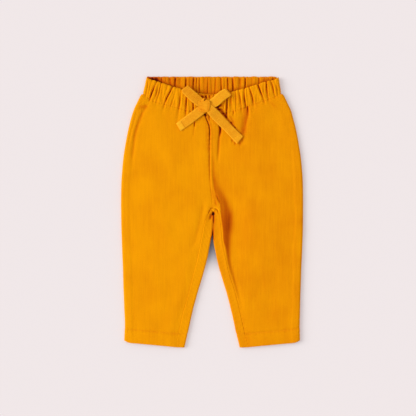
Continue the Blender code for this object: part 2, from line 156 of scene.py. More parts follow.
CASING_FOOT_X = (-102.4, 102.3)

# Grid rows: a front panel's above its foot and below its head, the back panels' y, and
# the casing halves' shares of their height.
PANEL_FOOT = (0, 0.35, 0.8, 1.6, 3, 5.2, 8, 11, 14, 16.6, 18.4, 19.3, 19.8, 20.3, 21.2, 23, 26, 30)
PANEL_HEAD = (34, 30, 26.5, 23.5, 20.5, 18, 15.5, 13.2, 11, 9, 7.2, 5.6, 4.2, 3, 2, 1.2, 0.6, 0.25, 0)
PANEL_MIDDLE = 54  # rows between them
BACK_ROWS = np.concatenate([
    [HEM_Y, HEM_Y + 0.4, HEM_Y + 1, -197, -193, -188, -184, -181.8, -180.6, -180, -179.2, -177],
    np.arange(-172, -40, 5), np.arange(-40, -10, 2), np.arange(-10, 6, 0.8),
    [6.4, 7.2, 8, 9, 11, 15], np.arange(20, 171, 6), [CASING_FOOT_Y - 2 * SEAM_HALF]])
FRONT_CASING_ROWS = (0, 0.012, 0.035, 0.07, 0.12, 0.17, 0.22, 0.28, 0.34, 0.4, 0.46, 0.52, 0.58,
                     0.64, 0.7, 0.76, 0.82, 0.87, 0.915, 0.95, 0.975, 0.99, 1)
BACK_CASING_ROWS = (0, 0.02, 0.06, 0.12, 0.19, 0.26, 0.33, 0.4, 0.47, 0.54, 0.61, 0.68, 0.75,
                    0.81, 0.87, 0.92, 0.955, 0.98, 0.995, 1)

# Gathers of the front casing and the cloth below it. Each crease runs from its place on
# the casing's top edge to its place on the waist seam and on into the panel.
FRONT_GATHERS = (
    # x at the top edge, x at the seam, width, depth in the casing, depth below, reach below
    (-94, -97.6, 1.3, 1.1, 0.5, 8), (-88, -95, 0.9, 0.9, 0.5, 9), (-81.6, -91.8, 1.2, 2.6, 1.3, 13),
    (-77.2, -85.6, 0.9, 1.2, 0.3, 6), (-74.2, -82, 1, 1.5, 0.8, 9), (-64.4, -73.6, 0.8, 0.6, 0.3, 6),
    (-58.4, -69.8, 1.2, 2.6, 1.2, 17), (-52.6, -60.4, 1, 0.9, 0.6, 12),
    (-44.2, -49.4, 1.4, 1.8, 1.3, 34), (-35.4, -38.6, 1.2, 2.6, 2.2, 14),
    (-28.6, -26.8, 1.3, 2.8, 1.8, 9), (-20.4, -21.4, 1, 1.4, 1.2, 16), (3, 3.4, 1.2, 1.8, 1.2, 14),
    (8.6, 9.4, 1.2, 1.8, 1.2, 14), (17, 17.4, 0.8, 1, 0.6, 8), (22.4, 21.3, 1.4, 3, 2.9, 13),
    (28, 28.8, 1.7, 1.5, 0.3, 5), (31.4, 32, 0.9, 0.6, 1.9, 13), (34.4, 36, 1, 1.4, 0.4, 6),
    (40.4, 43, 1.2, 1.6, 1, 16), (47.4, 49.6, 1.3, 2.5, 0.8, 8), (50.6, 53.2, 1.2, 0.6, 2.1, 26),
    (55, 61.2, 1.2, 2.1, 0.9, 12), (68, 76.2, 1.2, 2.7, 1.3, 10), (79.8, 83.2, 1.2, 2.5, 0.9, 9),
    (86.2, 93.4, 1.2, 1.8, 0.8, 9), (92, 97.2, 1.1, 1, 0.4, 6),
)
# Small hollows and bumps of the cloth: short lines from one place to another.
# The hollows get painted shade and the bumps painted light.
MARKS = (
    # start x, start y, end x, end y, width, height (below 0 for a hollow)
    # the casing's dipped rim and holes above the knot, dark with painted shade, and the creases below
    # it
    (-19, 173.4, 0, 173, 1.4, -0.8), (-14.8, 170, -13, 169.2, 1.8, -2.8),
    (-8.7, 171.2, -8.6, 168.2, 1.45, -3.2), (-3.6, 171.2, -3.5, 168.6, 1.4, -1.9),
    (-10.7, 144.6, -9.7, 142.6, 1.5, -2.6), (-3.9, 142.6, -3.9, 134.8, 1.1, -1.1),
    # the corner between the right loop and the right end, dark with painted shade
    (6.8, 155.4, 12.6, 157.2, 2.5, -2.4), (10.8, 151.2, 13.9, 151, 1.1, -2.6),
    (9.6, 152.2, 18, 143.6, 2, -1.3), (19.6, 141.9, 20.9, 140.3, 1.4, -2.2),
    (14, 147.6, 17.6, 144.8, 2.2, -0.9), (10.4, 153.4, 13.4, 153.4, 0.6, 0.9),
    # where the cloth is pressed beside the ends of the bow, with the bow's shadow painted in these
    # hollows
    (20.6, 140.6, 28.4, 131.2, 1.3, -1.3), (27.4, 140.2, 32.2, 132, 1.9, -0.7),
    (28.4, 131.2, 34, 123.9, 1.2, -1.5), (34, 123.9, 43.5, 114.4, 1.1, -0.9),
    (46.2, 109.6, 41, 101, 1.5, -1.1), (29.6, 105.8, 35.2, 100.2, 1.1, -1.1),
    (-25.9, 133.3, -25.9, 126.6, 1, -1.9), (-26.6, 125, -27.6, 114, 1.4, -0.4),
    (-40.7, 123.4, -40.3, 122.9, 0.8, -1.4), (-31.9, 149.2, -31.9, 148, 0.8, -1),
    (-27.5, 154.4, -27.3, 151.8, 1.2, -1.4),
    # the small fold across the left hip, under the casing
    (-105, 154.6, -97, 156, 2.6, -0.6),
    # the sewn meeting of the four seams: tuft, ring and drag marks
    (1.4, 3.8, 2.6, 2, 1.1, 1.4), (5.7, 4.1, 8.6, 1.4, 0.7, -0.9), (8.6, 1.4, 8.9, -1.6, 0.7, -0.7),
    (4, 6.8, 9.4, 4.6, 0.9, 0.5), (9.4, 4.6, 11.6, -0.5, 0.9, 0.5), (-0.9, 5.5, -4.2, -0.2, 0.8, -1.1),
    (-4.2, -0.2, -7.6, -10.7, 0.8, -0.5), (-1.2, -4.5, -2.4, -9, 2, -1.7),
    (6.2, 24.4, 8.9, 18.4, 0.9, -0.8), (8.9, 18.4, 11.2, 13.9, 0.9, -0.8),
    (4.6, 14.6, 5.8, 11, 1.2, -0.6),
    # the drag mark at the right side seam
    (125.5, -13.2, 132.6, -12, 0.9, -0.6),
)
MARK_PAINTED_SHADE = 0.3  # painted shade: how much a hollow one millimetre deep is darkened
UNDER_TONE = 0.5  # share of the tone, painted shade included, that the cloth's other face keeps
DEEPEST_PAINTED_SHADE = 0.8  # the deepest painted shade on the front panels and the front casing
RIGHT_PAINTED_SHADE = 0.07  # painted shade: the right leg is made a little darker than the left one
HOLE = (1.9, -2.3)  # the small hole at the sewn corner, below the crotch: a dip whose darkness is painted shade
# Gathers of the back casing's inside.
BACK_GATHERS = (
    # x, width, depth, lean over the casing's height
    (-87.8, 1.5, 3, 0.6), (-82, 2, 3.1, 0.4), (-74.6, 0.9, 2.4, 0.5), (-68.4, 1.2, 0.9, 0),
    (-61.6, 1.9, 2.2, -0.6), (-54.4, 1.3, 3.1, 0.8), (-47, 1.8, 0.8, 0.3), (-38.6, 1.1, 3.1, 0.4),
    (-32.4, 1, 0.7, 0), (-27.4, 1.2, 2.4, 0.8), (-22.8, 0.8, 2.2, 0.5), (-18.4, 0.9, 2.3, 0.4),
    (-10.6, 2.2, 0.9, 0), (-6, 0.9, 1.7, 0.5), (-0.8, 0.8, 0.7, -0.4), (5, 0.9, 1.2, 0.4),
    (13.6, 1, 2.5, -0.4), (18.6, 0.9, 0.7, 0), (23.4, 1, 2.7, -0.3), (30.8, 1.3, 2.8, -0.5),
    (41.6, 2.2, 1.5, 0), (49.2, 1.1, 3.1, 0.2), (59.4, 1.6, 0.9, 0), (65.2, 0.8, 0.7, 0),
    (69.8, 1.2, 3, -0.6), (77.4, 1.1, 0.9, 0), (84.2, 0.9, 0.8, -0.4), (90.6, 1.3, 2.4, -0.6),
)
# The fall of the cloth right of the crotch: a crest along the inseam, and the slope from
# it down into a trough that runs on down the right leg.
# Its shade is partly the slope's own and partly painted into the colour.
FALL = (
    # y, crest x, x where the painted shade is darkest, where that shade ends, drop, painted shade
    (54, 0.8, 2, 7, 0, 0), (47.8, 1.2, 4, 12, 0.4, 0.09), (37.2, 2.1, 7.5, 18, 1.1, 0.2),
    (31.6, 3.4, 10, 22, 1.6, 0.26), (22.4, 7, 15, 27, 2.5, 0.32), (12.5, 11, 19.5, 32, 3.4, 0.38),
    (5.5, 12.2, 21.8, 33.5, 3.9, 0.42), (-0.2, 12.8, 23.8, 34.5, 4.1, 0.44),
    (-5.1, 13.3, 25, 35, 4.2, 0.46), (-15, 14.6, 25.2, 35.5, 4.3, 0.475),
    (-26.3, 16, 24, 35, 4.3, 0.475), (-43.9, 17.2, 22.6, 32, 3.8, 0.455),
    (-51.7, 19, 22.8, 31.2, 3.3, 0.44), (-65.3, 21, 24, 31, 2.6, 0.38), (-75.4, 22.6, 25.2, 32, 2, 0.3),
    (-89, 26.4, 29, 35, 1.5, 0.2), (-101, 30.6, 32.7, 36.4, 1.1, 0.18),
    (-122, 36.4, 37.8, 42, 0.6, 0.07), (-150, 42, 46, 52, 0.3, 0), (-178, 48, 52, 60, 0, 0),
)
FALL_CREST = 0.36  # share of the drop that stands above the cloth beside it
FALL_BACK = 32  # how far beyond the trough the cloth comes up again

# Soft troughs and ridges of the cloth: each follows a line of (y, x) from its top down.
SOFT_FOLDS = (
    # line, width to its left, width to its right, height (below 0 for a trough)
    # the pleat right of the centre seam, deep where it comes out from under the bow
    (((152, 8.5), (128, 11), (123, 12.2), (109, 10.1), (95, 9.2), (79, 8.4)), 1.3, 2.6, -1.5),
    (((126, 11.4), (121, 11.9), (115, 11)), 1.6, 1.8, -2.4),
    (((140, 1), (120, 3), (100, 3.2), (84, 2)), 3, 4, 0.6),
    # the raised edge right of the centre seam
    (((132, -3.2), (124, -1.4), (100, -0.9), (60, -0.8), (38, 0.2)), 1.5, 1.4, 0.8),
    # the left leg's inseam and the soft fold beside it
    (((6, -5.6), (-8, -9), (-24, -12.6), (-52, -17.6)), 4.5, 3.5, 0.55),
    (((12, -13), (-8, -16.5), (-30, -22), (-56, -30)), 6, 4.5, -0.8),
    # the hollow right of the bow's long end
    (((156, 51), (141, 50.6), (130, 48.6), (118, 46.8), (110, 46.6)), 7, 3.4, -1.5),
    # hip hollows
    (((156, -97), (146, -103), (132, -108.2), (118, -113.2), (107, -115), (92, -116.6), (76, -118.8)),
     2.6, 3.4, -1.1),
    (((143, -111.8), (129, -116), (111, -121), (98, -123.4)), 1.8, 1.8, -0.5),
    (((162, 86), (152, 90), (134, 92), (104, 98)), 8, 10, -0.4),
    (((160, 100), (140, 110), (110, 118)), 5, 6, -0.3),
    # the legs' soft fullness and slack
    (((110, -72), (60, -70), (0, -76), (-90, -84)), 22, 26, 0.6),
    (((120, 60), (70, 66), (10, 72), (-90, 84)), 26, 22, 0.6),
    (((-60, -60), (-120, -66), (-176, -74)), 9, 12, -0.35),
    (((-80, 92), (-130, 88), (-178, 86)), 10, 9, -0.4),
)
# Soft shades painted into the colour, by the same lines, where the cloth's slope is too gentle to
# measure.
SOFT_SHADES = (
    # line, width to its left, width to its right, painted shade
    # both sides of the centre seam
    (((130, -9.8), (120, -8.4), (104, -6.9), (88, -6.2)), 2.6, 1.8, 0.13),
    (((82, 1.7), (60, 1.9), (44, 2.6), (32, 4.2)), 0.9, 2.2, 0.17),
    (((58, 4), (46, 5.6), (38, 8)), 3, 6, 0.1),
    # the start of the fall, above the crotch
    (((30, 0.8), (22, 3.6), (14, 6.4), (7, 8.2)), 2.4, 3, 0.17),
    # right of the bow's long end
    (((155, 52), (148, 52.6), (141.5, 52.5), (136.4, 50.9), (129, 50)), 1.6, 1.2, 0.17),
    (((124, 46.5), (112, 46.5)), 5, 4.5, 0.2), (((164, 85), (158.5, 90), (152, 97)), 3.5, 3.5, 0.12),
    (((134, 27), (128, 31)), 3, 3, 0.1),
    # left hip
    (((158, -101), (152, -101.5)), 5, 6.5, 0.14),
    (((146, -103.2), (132, -108.4), (118, -113.7), (104, -115.4)), 2.4, 3, 0.12),
)
SIDE_RIDGE = (11.6, 0.42)  # seam allowance pressed under the cloth: inset, height
SEAM_OVER = 0.9  # how far the back laps over the front at the inseam
INSEAM_STEP = (0.3, 0.22)  # how deep the front dips there, how high the back stands
PUCKER_PITCH = 7.5  # small drag marks along the seams
WAIST_PUCKER = 3.4
HEM_PUCKER = 5.4


def rise(value, low, high):
    """0 below low, 1 above high, smooth between."""
    t = np.clip((value - low) / (high - low), 0, 1)
    return t * t * (3 - 2 * t)


def pulse(distance, width):
    return np.exp(-(distance / width) ** 2)


def ripple(x, y, length, seed, stretch=1):
    """Smooth uneven field between about -1 and 1, its bumps about length across."""
    draw = np.random.default_rng(seed)
    total = np.zeros(np.broadcast(x, y).shape)
    for _ in range(7):
        angle = draw.uniform(0, TURN)
        wave = TURN / (length * draw.uniform(0.7, 1.6))
        phase = draw.uniform(0, TURN)
        total += np.sin(wave * (x * math.cos(angle) + y * math.sin(angle) / stretch) + phase)
    return total / 4


# ---------------- meshes


def add_object(name, data):
    made = bpy.data.objects.new(name, data)
    bpy.context.scene.collection.objects.link(made)
    return made


def distances(points):
    """How far along a line each of its points is."""
    return np.concatenate([[0], np.cumsum(np.linalg.norm(np.diff(points, axis=0), axis=1))])


def unit(vectors):
    return vectors / np.linalg.norm(vectors, axis=-1, keepdims=True)


def normals(grid):
    return unit(np.cross(np.gradient(grid, axis=1), np.gradient(grid, axis=0)))


def quads(rows, columns, start=0, closed=False):
    """Faces of a grid of points; a closed one joins its last column to its first."""
    r, c = np.indices((rows - 1, columns - (not closed)))
    a = r * columns + c
    b = r * columns + (c + 1) % columns
    corners = np.stack([a, b, b + columns, a + columns], axis=-1)
    return (corners.reshape(-1, 4) + start).tolist()


def mesh_object(name, points, faces, material, tone=None):
    """A mesh from points in millimetres, with one tone a point for its material, which carries painted
    shade and light.
    """
    mesh = bpy.data.meshes.new(name)
    mesh.from_pydata((np.asarray(points) * MM).tolist(), [], faces)
    if tone is not None:
        layer = mesh.color_attributes.new("tone", "FLOAT_COLOR", "POINT")
        tone = np.clip(tone, 0, 1)
        colours = np.stack([tone, tone, tone, np.ones_like(tone)], axis=1)
        layer.data.foreach_set("color", colours.ravel())
    body = bmesh.new()
    body.from_mesh(mesh)
    bmesh.ops.recalc_face_normals(body, faces=body.faces)
    body.to_mesh(mesh)
    body.free()
    mesh.polygons.foreach_set("use_smooth", [True] * len(mesh.polygons))
    mesh.materials.append(material)
    return add_object(name, mesh)


def shell(name, base, relief, material, facing, tone, depth):
    """Closed cloth: a fine outer face with its cord ribs, and a plain inner face."""
    out = normals(base) * facing
    rows, columns = base.shape[:2]
    inner_columns = np.arange(0, columns, STEPS)
    groove = 1 - np.array([RIB_SHAPE[c % STEPS] for c in range(columns)])
    face = base + out * (relief - depth * groove)[..., None]
    back = (base + out * (relief - SHELL)[..., None])[:, inner_columns]
    count = rows * columns
    narrow = len(inner_columns)
    faces = quads(rows, columns) + [quad[::-1] for quad in quads(rows, narrow, count)]
    outer = np.arange(count).reshape(rows, columns)
    inner = count + np.arange(rows * narrow).reshape(rows, narrow)
    for end in (0, -1):
        for k in range(narrow - 1):
            rim = outer[end, k * STEPS:k * STEPS + STEPS + 1].tolist()
            faces.append(rim + inner[end, [k + 1, k]].tolist())
        sides = [outer[:-1, end], outer[1:, end], inner[1:, end], inner[:-1, end]]
        faces += np.stack(sides, axis=1).tolist()
    # The grooves between the cord ribs get painted shade; the inner face keeps a share of the outer
    # face's tone and painted shade.
    under = UNDER_TONE * tone[:, inner_columns]
    tone = np.concatenate([(tone + 0.35 * groove).ravel(), under.ravel()])
    points = np.concatenate([face.reshape(-1, 3), back.reshape(-1, 3)])
    return mesh_object(name, points, faces, material, tone)


# ---------------- relief and tone of the cloth


def gather_relief(x, below):
    """Depth of the gathers at the front; below is the distance under the waist seam."""
    up = np.clip(-below / (EDGE(x) - SEAM(x)), 0, 1.02)
    down = np.clip(below, 0, None)
    total = np.zeros_like(x)
    for i, (top_x, foot_x, width, deep, deep_below, reach) in enumerate(FRONT_GATHERS):
        bend = 0.5 * np.sin(up * 4 + i * 1.7)
        lean = (foot_x - top_x) / 26
        line = foot_x + (top_x - foot_x) * up + bend + 0.55 * lean * down
        spread = width * (1 + 1.3 * down / reach)
        in_casing = deep * (0.45 + 0.55 * np.sin(math.pi * np.clip(up + 0.22 * np.sin(i), 0, 1)))
        in_panel = deep_below * np.clip(1 - down / reach, 0, 1) ** 1.3
        blend = rise(below, -2, 2.5)
        gap = np.abs(x - line) / spread
        size = in_casing * (1 - blend) + in_panel * blend
        total += size * (np.exp(-gap ** 1.6) - 0.2 * pulse(gap - 2.1, 0.9))
    return -total


def bands(x, y, lines, longest, share, above):
    """Soft folds or shades along lines of (y, x), which fade out over their ends."""
    total = np.zeros_like(x)
    for line, left, right, strength in lines:
        low, high = min(line)[0], max(line)[0]
        fade = min(longest, (high - low) * share)
        ends = rise(y, low - fade, low + fade) * (1 - rise(y, high - fade * above, high + fade))
        away = x - curve(line)(y)
        total += strength * ends * pulse(away, np.where(away < 0, left, right))
    return total


def fold_relief(x, y):
    return bands(x, y, SOFT_FOLDS, 13, 0.45, 0.6)


def fall(x, y):
    """Height of the crest, slope and trough right of the crotch, and the shade painted on them."""
    crest, darkest, over, drop, shade = (column(FALL, index)(y) for index in range(1, 6))
    away = x - crest
    reach = darkest - crest + 0.45 * (over - darkest)
    t = np.clip(away / reach, 0, 1)
    slope = 0.35 * (1 - (1 - t) ** 2) + 0.65 * t * t * (3 - 2 * t)
    beyond = FALL_CREST - slope + (1 - FALL_CREST) * rise(away, reach, reach + FALL_BACK)
    height = drop * np.where(away < 0, FALL_CREST * pulse(away, 4.6), beyond)
    # The painted shade is sharp at the crest and soft at the foot.
    depth = 0.82 + 0.18 * pulse(x - darkest, 0.5 * (darkest - crest) + 0.6)
    edge = 0.9 + 1.8 * rise(-y, 42, 56)
    return height, shade * depth * rise(away, -0.6, edge) * (1 - rise(x, darkest, over))


def line_distance(x, y, start_x, start_y, end_x, end_y):
    """Distance from a short straight line."""
    run_x, run_y = end_x - start_x, end_y - start_y
    share = (x - start_x) * run_x + (y - start_y) * run_y
    share = np.clip(share / (run_x ** 2 + run_y ** 2), 0, 1)
    return np.hypot(x - start_x - share * run_x, y - start_y - share * run_y)


def marks_relief(x, y):
    return sum(height * pulse(line_distance(x, y, *ends), width)
               for *ends, width, height in MARKS)


# Painted shade in the marks' hollows and painted light on their bumps.
def painted_mark_light_and_shade(relief):
    return MARK_PAINTED_SHADE * np.clip(-relief, -0.8, 2.4)


def painted_crease_shade(relief):
    """Painted shade: how dark the cloth's colour is made in its creases, where little light comes in.
    """
    return np.clip((-relief - 0.5) / 2.6, 0, 0.78)


# Painted shade in the soft troughs.
def painted_fold_shade(relief):
    return 0.55 * np.clip((-relief - 0.5) / 2.2, 0, 1.5)


# Painted shade in the seam dips.
def painted_pinch_shade(relief):
    return 0.55 * np.clip(-relief, 0, 1.2)


def puckers(along, pitch, wander, length, seed):
    """Uneven waves along a seam, from 0 to 1."""
    return 0.5 + 0.5 * np.sin(TURN * along / pitch + wander * ripple(along, 0, length, seed))


def seam_pinch(distance, along, seed, deep):
    """The dip at a seam, broken along its length, with small uneven drag marks beside it."""
    marks = puckers(along, PUCKER_PITCH, 2.2, 16, seed)
    broken = 0.7 + 0.3 * ripple(along, 0, 24, seed + 1)
    return -deep * broken * pulse(distance, 0.9) - 0.18 * marks * pulse(distance, 4.5)


def waist_pinch(below, x):
    """The waist seam: no open line, only small puckers where the gathers are caught."""
    marks = puckers(x, WAIST_PUCKER, 2.6, 13, 71)
    return -(0.1 + 0.32 * marks ** 2) * pulse(below + 0.4, 1.3) - 0.25 * pulse(below, 3)


def inseam_strength(y, side):
    """The left inseam lies smooth and shows only near the crotch; the right one is plain."""
    return rise(y, -18, -4) if side < 0 else 0.2 + 0.6 * rise(-y, 60, 100)


def inseam_distance(x, y, side):
    """Distance from the inseam on the front; above the crotch, from its end there."""
    steps = np.linspace(HEM_Y, CROTCH_Y, 400)
    slope = np.abs(np.gradient(INSEAM[side](steps), steps))
    lean = np.minimum(np.interp(y, steps, slope), 1) * (1 - rise(y, CROTCH_Y - 2, CROTCH_Y + 2))
    away = np.abs(x - INSEAM[side](y)) / np.sqrt(1 + lean ** 2)
    return np.hypot(away, np.maximum(y - CROTCH_Y, 0))


# ---------------- panels and casing


def rolled_shell(name, x, y, z, turn, relief, material, side, tone, fullness):
    """A front piece: its relief dies out round the turned-down side, but not its waist seam."""
    below = SEAM(x) - y
    relief = relief * np.cos(turn) ** 0.5 + waist_pinch(below, x)
    away = rise(np.abs(below), 0, 4)
    depth = WALE_DEPTH * (0.3 + fullness * away)
    return shell(name, np.stack([x, y, z], axis=2), np.maximum(relief, DEEPEST_DIP), material,
                 side, np.minimum(tone, DEEPEST_PAINTED_SHADE), depth)


def front_panel(name, side, material):
    """Front panel: its ribs run down the cloth and are cut off by the slanting inseam."""
    flat = int(round((SIDE_HALF_WIDTH - SIDE_RADIUS) / WALE)) * STEPS
    roll = SIDE_RIBS * STEPS
    across = np.concatenate([np.linspace(0, 1, flat + 1), np.ones(roll)])
    turn = np.concatenate([np.zeros(flat + 1), np.linspace(0, math.pi / 2, roll + 1)[1:]])

    def ends(y):
        return CENTRE(y) + side * SEAM_HALF, SIDE[side](y) - side * SIDE_RADIUS

    def place(y):
        inner, outer = ends(y)
        return inner + across * (outer - inner) + side * SIDE_RADIUS * np.sin(turn)

    # Where each column leaves the panel at its foot: the inseam, or the hem's edge.
    down = np.linspace(CROTCH_Y, HEM_Y, 800)
    inner, outer = ends(down)
    share_at = (INSEAM[side](down) + side * SEAM_HALF - inner) / (outer - inner)
    share_at = np.maximum.accumulate(np.clip(share_at, 0, 1))
    at_hem = across > share_at[-1]
    low = np.where(at_hem, HEM_Y, np.interp(across, share_at, down, right=HEM_Y))
    for _ in range(3):
        low = np.where(at_hem, HEM(np.abs(place(low))), low)
    high = np.full_like(across, 150)
    for _ in range(25):
        high = 0.5 * high + 0.5 * (SEAM(place(high)) - 2 * SEAM_HALF)
    lower, upper = low + PANEL_FOOT[-1], high - PANEL_HEAD[0]
    middle = np.linspace(0, 1, PANEL_MIDDLE + 2)[1:-1, None]
    y = np.concatenate([low + np.array(PANEL_FOOT)[:, None], lower + (upper - lower) * middle,
                        high - np.array(PANEL_HEAD)[:, None]])
    x = place(y)

    below = SEAM(x) - y
    from_inseam = inseam_distance(x, y, side)
    body = np.sin(math.pi * np.clip(across, 0, 1)) ** 0.7 * rise(from_inseam, 0, 13)
    top = LEG_TOP + LOFT * body * (turn == 0) + WAIST_RISE * (1 - rise(below, 0, 45))
    near_waist = 1 - rise(below, 0, 14)
    top = top + (SEAM_TOP - top) * near_waist
    foot = SHELL + 0.35
    foot = foot + (SEAM_FOOT - foot) * near_waist
    z = foot + (top - foot) * np.cos(turn)
    from_side = np.abs(SIDE[side](y) - x)
    from_centre = np.where(y > CROTCH_Y - 2, np.abs(x - CENTRE(y)), 99)
    from_hem = y - HEM(np.abs(x))
    from_stitch = from_hem - HEM_DEPTH

    gathers = gather_relief(x, below)
    folds = fold_relief(x, y)
    marks = marks_relief(x, y)
    fall_height, fall_shade = fall(x, y)
    pinches = seam_pinch(from_inseam, y, 11 + side, 0.4) * inseam_strength(y, side)
    pinches += seam_pinch(from_centre, y, 21 + side, 1) * CENTRE_PINCH(y)
    relief = gathers + folds + marks + fall_height + pinches
    relief -= INSEAM_STEP[0] * pulse(from_inseam, 1.8)
    # the side seam
    wander = SIDE_RIDGE[0] + 1.2 * ripple(y, 0, 60, 5 + side)
    relief += SIDE_RIDGE[1] * rise(wander + 2.4 - from_side, 0, 4.4) * (1 - rise(y, 60, 120))
    drag = np.sin(TURN * y / 6.3 + ripple(y, 0, 25, 8))
    relief += 0.12 * drag * pulse(from_side, 4)
    # the cloth's unevenness
    uneven = 0.26 * ripple(x, y, 46, 3, 1.6) + 0.11 * ripple(x, y, 17, 4, 1.3)
    uneven += 0.05 * ripple(x, y, 7, 6, 0.8)
    relief += uneven * rise(below, 0, 4) * rise(from_inseam, 0.5, 6)
    # the hem
    relief += 0.3 * (1 - rise(from_stitch, -0.6, 0.8))
    dashes = puckers(x, HEM_PUCKER, 1.8, 14, 9)
    relief -= (0.4 + 0.1 * dashes) * pulse(from_stitch, 1.6)
    relief -= 0.12 * dashes * pulse(from_stitch + 4, 3.5) + 0.6 * pulse(from_hem, 0.9)

    # Painted shade in the gathers, folds, hollows and seam dips, on the fall, along the soft shades and
    # the hem's stitch line, and over the right leg; painted light on bumps.
    tone = painted_crease_shade(gathers) + painted_fold_shade(folds) + painted_mark_light_and_shade(marks) + RIGHT_PAINTED_SHADE * (side > 0)
    tone += painted_pinch_shade(pinches) + 0.3 * painted_pinch_shade(waist_pinch(below, x))
    tone += fall_shade + bands(x, y, SOFT_SHADES, 10, 0.4, 1) + 0.06 * pulse(from_stitch, 2)
    return rolled_shell(name, x, y, z, turn, relief, material, side, tone, 0.7)


def back_panel(name, side, material):
    """Back panel: flat under the garment, round the inner leg edge and up to the inseam."""
    row = BACK_ROWS[:, None]
    closing = rise(row, 5, 8)
    radius = WRAP_RADIUS * (1 - closing) + SHUT_RADIUS * closing
    edge = INNER[side](np.minimum(row, CROTCH_Y))
    over = SEAM_OVER * (1 - rise(row, -8, 0))
    lap = np.maximum(np.abs(INSEAM[side](row) - edge) - radius + over - SEAM_HALF, 0.8)
    start = edge + side * radius
    outer = SIDE[side](row) - side * 0.3
    shut = rise(row, -38, -34)
    flat = np.linspace(0, 1, BACK_RIBS * STEPS + 1)
    on = np.linspace(0, 1, WRAP_RIBS * STEPS + 1)[1:]
    fold = math.pi * on
    rounded = np.clip(np.sin(fold), 0, 1) ** (1 - 0.65 * shut)
    bulge = np.where(fold < math.pi / 2, np.sin(fold) * (1 - shut) + shut, rounded)
    x = np.concatenate([outer + (start - side * radius * shut - outer) * flat,
                        start - side * radius * bulge, start + side * lap * on], axis=1)
    z = np.concatenate([0 * row * flat, radius * (1 - np.cos(fold)),
                        2 * radius + (LEG_TOP - 2 * WRAP_RADIUS) * on * (1 - closing)], axis=1)
    y = row + (HEM(np.abs(x)) - HEM_Y) * rise(-row, 120, -HEM_Y)
    turned = np.concatenate([0 * flat, fold, np.full(len(on), math.pi)])
    crown = np.clip(turned / math.pi * 2 - 1, 0, 1)
    from_seam = np.full(x.shape, 99.0)
    from_seam[:, -len(on):] = lap * (1 - on)
    from_edge = x - INNER[side](np.minimum(y, CROTCH_Y))
    from_hem = y - HEM(np.abs(x))

    fall_height, fall_shade = fall(x, y)
    folds = (fold_relief(x, y) + fall_height) * rise(np.abs(from_edge), 0.5, 4.5)
    marks = marks_relief(x, y) * crown
    stitched = pulse(from_hem - HEM_DEPTH, 0.9)
    relief = seam_pinch(from_seam, y, 41 + side, 0.3) * inseam_strength(y, side) + folds + marks
    relief += INSEAM_STEP[1] * pulse(from_seam, 2.6)
    relief += 0.2 * ripple(x, y, 14, 12, 1.6) * rise(from_seam, 0.5, 5)
    relief -= 0.5 * stitched + 0.5 * pulse(from_hem, 0.8)
    relief -= 1.9 * pulse(y - HOLE[1], 1.7) * pulse(x - HOLE[0], 1.7) * crown
    on_top = z > WRAP_RADIUS * 1.2
    relief = np.maximum(np.where(on_top, relief, -0.35 * stitched), -2.6)
    # Painted shade in the folds, on the fall and in the hollows, over the right leg, along the slit and
    # in the hole; painted light on bumps.
    tone = np.where(on_top, painted_fold_shade(folds) + fall_shade, 0) + painted_mark_light_and_shade(marks)
    tone += RIGHT_PAINTED_SHADE * (side > 0) + SLIT_PAINTED_SHADE(y) * pulse(from_edge, 1.5)
    tone += 1.9 * pulse(y - HOLE[1], 1.7) * pulse(x - HOLE[0] + 0.2, 1.6) * (z > 0)
    depth = WALE_DEPTH * (1 - shut * (turned > 0) * (turned < 0.75 * math.pi))
    return shell(name, np.stack([x, y, z], axis=2), relief, material, side, tone, depth)


def casing_grid(rows, columns):
    """Each grid point's share of the casing's height, and the casing's two ends there."""
    up = np.repeat(np.array(rows, float)[:, None], columns, axis=1)
    left, right = (foot + (top - foot) * up for foot, top in zip(CASING_FOOT_X, CASING_TOP_X))
    return up, left, right


def front_casing(name, material):
    """Front half of the waist casing, gathered on its elastic."""
    roll = np.linspace(0, math.pi / 2, SIDE_RIBS * STEPS + 1)[1:]
    flat = np.linspace(0, 1, CASING_RIBS[0] * STEPS + 1)
    turn = np.concatenate([-roll[::-1], 0 * flat, roll])
    share = np.concatenate([0 * roll, flat, 0 * roll + 1])
    up, left, right = casing_grid(FRONT_CASING_ROWS, len(turn))
    x = left + SIDE_RADIUS + share * (right - left - 2 * SIDE_RADIUS) + SIDE_RADIUS * np.sin(turn)
    scallop = sum(0.28 * row[3] * pulse(x - row[0], row[2] + 0.6) for row in FRONT_GATHERS)
    y = SEAM(x) + (EDGE(x) - scallop - SEAM(x)) * up
    top = SEAM_TOP + (CASING_TOP - SEAM_TOP) * rise(up, 0, 0.45) - 1.5 * rise(up, 0.9, 1) ** 2
    foot = SEAM_FOOT - 0.5 * rise(up, 0, 0.2) - 0.55 * rise(up, 0.88, 1)
    z = foot + (top - foot) * np.cos(turn)
    above = y - SEAM(x)
    gathers = gather_relief(x, np.minimum(-above, 0))
    marks = marks_relief(x, y)
    away = rise(above, 0, 4)
    fine = 0.24 * ripple(x, y, 5, 15, 6) + 0.2 * ripple(x, y, 2.7, 19, 6)
    relief = gathers + away * (0.3 * ripple(x, y, 10, 14, 5) + fine) + marks
    # Painted shade in the gathers and hollows, and painted light and shade following the fine wrinkles.
    tone = painted_crease_shade(gathers) + 0.04 - 0.3 * fine * away + painted_mark_light_and_shade(marks)
    return rolled_shell(name, x, y, z, turn, relief, material, 1, tone, 0.5)


